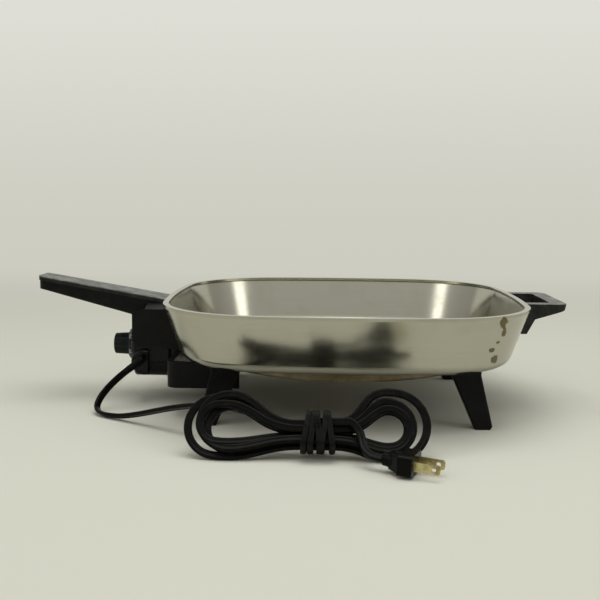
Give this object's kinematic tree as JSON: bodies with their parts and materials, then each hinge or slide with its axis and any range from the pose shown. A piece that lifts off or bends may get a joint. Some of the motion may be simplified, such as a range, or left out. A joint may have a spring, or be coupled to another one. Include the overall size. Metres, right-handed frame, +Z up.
{
  "type": "electric skillet",
  "caption": "Square stainless electric skillet on moulded legs with a long handle, a helper handle and a plug-in heat control whose flat cord is tied in a hank.",
  "frame": {"origin": "middle of the skillet's own box, at the table under the legs; the pan's centre is 40.55 mm towards +X", "axes": "+Z up, -X towards the long handle and heat control, +X towards the helper handle, -Y the side where the cord is laid"},
  "size_m": [0.449, 0.3791, 0.1085],
  "materials": {
    "stainless": "brushed, lightly stained",
    "plate_aluminium": "heat-browned",
    "element_sheath": "oxidised",
    "plated_pins": "plated",
    "bushing_ceramic": "unglazed",
    "black_phenolic": "moulded, satin",
    "worn_phenolic": "worn and greyed",
    "control_phenolic": "moulded, glossy",
    "dial_plastic": "glossy",
    "bracket_steel": "stamped",
    "screw_steel": "plated",
    "contact_brass": "bare",
    "cord_rubber": "satin",
    "tie_plastic": "satin",
    "blade_brass": "tarnished"
  },
  "bodies": {
    "skillet": {"pan_shell": "stainless", "heat_plate": "plate_aluminium", "heating_element": "element_sheath", "probe_well": "plate_aluminium", "terminal_pins": "plated_pins", "terminal_bushings": "bushing_ceramic", "leg_front_left": "black_phenolic", "leg_rear_left": "black_phenolic", "leg_front_right": "black_phenolic", "leg_rear_right": "black_phenolic", "leg_brackets": "bracket_steel", "leg_screws": "screw_steel", "terminal_guard": "black_phenolic", "handle_body": "black_phenolic", "handle_cap": "worn_phenolic", "handle_bracket": "bracket_steel", "handle_screws": "screw_steel", "handle_nuts": "screw_steel", "helper_handle": "black_phenolic", "helper_screws": "screw_steel", "helper_studs": "bracket_steel"},
    "control": {"control_case": "control_phenolic", "control_base": "control_phenolic", "control_screws": "screw_steel", "contact_sleeves": "contact_brass", "probe_stem": "element_sheath", "switch_frame": "bushing_ceramic", "contact_blade": "contact_brass", "strain_relief": "cord_rubber", "cord_lead": "cord_rubber", "cord_hank": "cord_rubber", "cord_tail": "cord_rubber", "hank_tie": "tie_plastic", "plug_body": "cord_rubber", "plug_blades": "blade_brass"},
    "dial": {"dial_shaft": "screw_steel", "dial_skirt": "dial_plastic", "dial_knob": "dial_plastic"}
  },
  "joints": [
    {"name": "control_pull", "type": "slide", "parent": "skillet", "child": "control", "axis": [-1, 0, 0], "range_m": [0, 0.08]},
    {"name": "dial_turn", "type": "hinge", "parent": "control", "child": "dial", "pos_m": [-0.14045, 0, 0.0475], "axis": [-1, 0, 0], "range_deg": [0, 280]}
  ]
}
